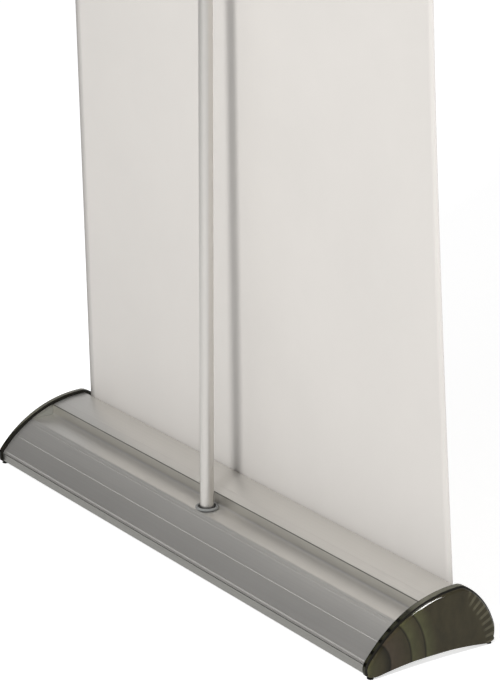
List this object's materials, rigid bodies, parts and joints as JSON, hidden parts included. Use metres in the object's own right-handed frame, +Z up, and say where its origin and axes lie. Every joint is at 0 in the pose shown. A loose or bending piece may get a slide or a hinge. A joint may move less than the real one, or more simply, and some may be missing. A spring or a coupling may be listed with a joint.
{
  "type": "roll-up banner stand",
  "caption": "Roll-up banner stand: wide aluminium base with smoked end caps and a spring roller inside, a leaning sectional pole behind, and a clamp rail that carries the banner.",
  "frame": {"origin": "on the floor under the middle of the base", "axes": "+X along the base, -Y the banner's printed side, +Y the pole's side, +Z up"},
  "size_m": [0.896, 0.195, 2.1444],
  "materials": {
    "profile_aluminium": "silver anodised extrusion, fine lengthwise die lines",
    "pole_aluminium": "bright anodised drawn tube",
    "smoked_plastic": "smoked translucent moulding, glossy",
    "steel": "zinc plated",
    "spring_steel": "oiled spring wire",
    "rubber": "matt",
    "black_plastic": "fine moulded texture",
    "grey_plastic": "fine moulded texture",
    "banner_film": "matt off-white banner film, plain"
  },
  "bodies": {
    "base": {"base_profile": "profile_aluminium", "bottom_plate": "profile_aluminium", "plate_screw_1": "steel", "plate_screw_2": "steel", "plate_screw_3": "steel", "plate_screw_4": "steel", "end_plate_left": "steel", "end_screw_left_1": "steel", "end_screw_left_2": "steel", "end_screw_left_3": "steel", "end_screw_left_4": "steel", "end_cap_left": "smoked_plastic", "foot_pad_rear_left": "rubber", "foot_pad_front_left": "rubber", "end_plate_right": "steel", "end_screw_right_1": "steel", "end_screw_right_2": "steel", "end_screw_right_3": "steel", "end_screw_right_4": "steel", "end_cap_right": "smoked_plastic", "foot_pad_rear_right": "rubber", "foot_pad_front_right": "rubber", "roller_pin": "steel", "spring_shaft": "steel", "torsion_spring": "spring_steel", "pole_socket": "black_plastic", "pole_collar": "grey_plastic"},
    "roller": {"roller_tube": "profile_aluminium", "wound_banner": "banner_film", "roller_plug_left": "black_plastic", "roller_plug_right": "black_plastic", "spring_anchor": "black_plastic"},
    "pole": {"pole_lower": "pole_aluminium", "pole_middle": "pole_aluminium", "pole_upper": "pole_aluminium", "pole_joiner_1": "steel", "pole_joiner_2": "steel", "pole_foot_plug": "black_plastic", "pole_top_plug": "black_plastic"},
    "hook": {"pole_hook": "black_plastic"},
    "rail": {"top_rail": "profile_aluminium", "clamp_strip": "grey_plastic", "rail_cap_left": "black_plastic", "rail_cap_right": "black_plastic", "banner": "banner_film"}
  },
  "joints": [
    {"name": "pole_lift", "type": "slide", "parent": "base", "child": "pole", "axis": [0, -0.0253, 0.9997], "range_m": [0, 0.034]},
    {"name": "hook_turn", "type": "hinge", "parent": "pole", "child": "hook", "pos_m": [0, -0.027, 2.13084], "axis": [0, -0.0253, 0.9997], "range_deg": [-90, 90]},
    {"name": "rail_slide", "type": "slide", "parent": "pole", "child": "rail", "axis": [0, 0, 1], "range_m": [-2.036, 0], "deforming": ["banner"]},
    {"name": "roller_spin", "type": "hinge", "parent": "base", "child": "roller", "pos_m": [0, -0.0312, 0.038], "axis": [1, 0, 0], "range_deg": [0, 6870]}
  ],
  "couplings": [
    {"joint": "roller_spin", "follows": "rail_slide", "rad_per_m": -58.824}
  ]
}
